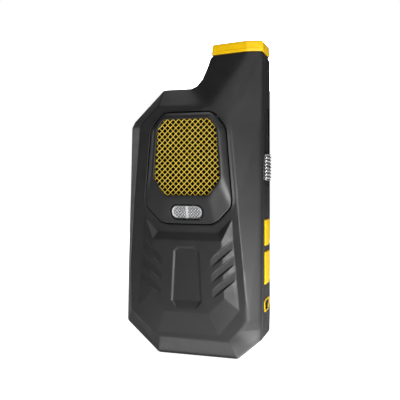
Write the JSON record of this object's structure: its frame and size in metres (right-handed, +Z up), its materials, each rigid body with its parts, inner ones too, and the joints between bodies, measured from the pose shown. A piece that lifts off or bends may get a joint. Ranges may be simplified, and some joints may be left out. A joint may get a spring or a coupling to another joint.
{
  "type": "handheld gps unit",
  "caption": "Handheld satellite positioning and radio unit with a stub antenna, a loudspeaker pod with a lamp on the grip side, side buttons, a slide switch and a screen with keys.",
  "frame": {"origin": "centre of the bounding box at its flat bottom end", "axes": "+Z up towards the antenna, -Y out of the grip side with the loudspeaker, +Y out of the display side, +X towards the side buttons"},
  "size_m": [0.0738, 0.034, 0.161],
  "materials": {
    "case_plastic": "fine-textured dark grey moulded plastic",
    "pod_plastic": "smoother dark grey moulded plastic",
    "yellow_plastic": "satin yellow moulded plastic",
    "gold_mesh": "gold-coloured woven wire mesh",
    "chrome": "bright chrome plate",
    "steel": "plain stamped steel",
    "seal_rubber": "black sealing rubber",
    "key_rubber": "dark grey key plastic",
    "circuit_board": "green solder-masked laminate",
    "ceramic": "unglazed patch-aerial ceramic",
    "copper": "bare copper wire",
    "battery_wrap": "shrink film over a pouch cell",
    "display_glass": "polished cover glass, dark behind",
    "lamp_lens_clear": "clear prismatic lamp window",
    "led_white": "white light-emitting diode",
    "speaker_cloth": "black acoustic cloth",
    "cone_paper": "dark loudspeaker cone and coil former"
  },
  "bodies": {
    "casing": {"rear_shell": "case_plastic", "front_shell": "case_plastic", "shell_gasket": "seal_rubber", "speaker_pod": "pod_plastic", "antenna_cap": "yellow_plastic", "grille_mesh": "gold_mesh", "grille_cloth": "speaker_cloth", "speaker_frame": "steel", "speaker_cone": "cone_paper", "speaker_magnet": "steel", "lamp_lens": "lamp_lens_clear", "lamp_reflector": "chrome", "lamp_led": "led_white", "lamp_board": "circuit_board", "main_board": "circuit_board", "rf_shield": "steel", "gps_patch_antenna": "ceramic", "antenna_former": "cone_paper", "antenna_coil": "copper", "battery_cell": "battery_wrap", "battery_tray": "case_plastic", "display_window": "display_glass", "display_gasket": "seal_rubber", "display_module": "steel", "keypad_mat": "seal_rubber", "side_switch_upper": "steel", "side_switch_lower": "steel", "side_switch_board": "circuit_board", "slide_guide": "key_rubber", "port_bezel": "yellow_plastic", "usb_connector": "steel", "case_screw_1": "steel", "case_screw_2": "steel", "case_screw_3": "steel", "case_screw_4": "steel"},
    "side_button_upper": {"side_button_upper": "yellow_plastic"},
    "side_button_lower": {"side_button_lower": "yellow_plastic"},
    "slide_switch": {"slide_knob": "chrome", "slide_index_pin": "seal_rubber"},
    "menu_key": {"menu_key": "key_rubber"},
    "page_key": {"page_key": "key_rubber"},
    "back_key": {"back_key": "key_rubber"},
    "mark_key": {"mark_key": "key_rubber"},
    "enter_key": {"enter_key": "key_rubber"},
    "zoom_in_key": {"zoom_in_key": "key_rubber"},
    "zoom_out_key": {"zoom_out_key": "key_rubber"}
  },
  "joints": [
    {"name": "side_button_upper_press", "type": "slide", "parent": "casing", "child": "side_button_upper", "axis": [-1, 0, 0], "range_m": [0, 0.0007], "stiffness_N_per_m": 3000},
    {"name": "side_button_lower_press", "type": "slide", "parent": "casing", "child": "side_button_lower", "axis": [-1, 0, 0], "range_m": [0, 0.0007], "stiffness_N_per_m": 3000},
    {"name": "slide_switch_travel", "type": "slide", "parent": "casing", "child": "slide_switch", "axis": [0, 0, 1], "range_m": [0, 0.018]},
    {"name": "menu_key_press", "type": "slide", "parent": "casing", "child": "menu_key", "axis": [0, -1, 0], "range_m": [0, 0.0008], "stiffness_N_per_m": 2500},
    {"name": "page_key_press", "type": "slide", "parent": "casing", "child": "page_key", "axis": [0, -1, 0], "range_m": [0, 0.0008], "stiffness_N_per_m": 2500},
    {"name": "back_key_press", "type": "slide", "parent": "casing", "child": "back_key", "axis": [0, -1, 0], "range_m": [0, 0.0008], "stiffness_N_per_m": 2500},
    {"name": "mark_key_press", "type": "slide", "parent": "casing", "child": "mark_key", "axis": [0, -1, 0], "range_m": [0, 0.0008], "stiffness_N_per_m": 2500},
    {"name": "enter_key_press", "type": "slide", "parent": "casing", "child": "enter_key", "axis": [0, -1, 0], "range_m": [0, 0.0008], "stiffness_N_per_m": 2500},
    {"name": "zoom_in_key_press", "type": "slide", "parent": "casing", "child": "zoom_in_key", "axis": [0, -1, 0], "range_m": [0, 0.0008], "stiffness_N_per_m": 2500},
    {"name": "zoom_out_key_press", "type": "slide", "parent": "casing", "child": "zoom_out_key", "axis": [0, -1, 0], "range_m": [0, 0.0008], "stiffness_N_per_m": 2500}
  ]
}
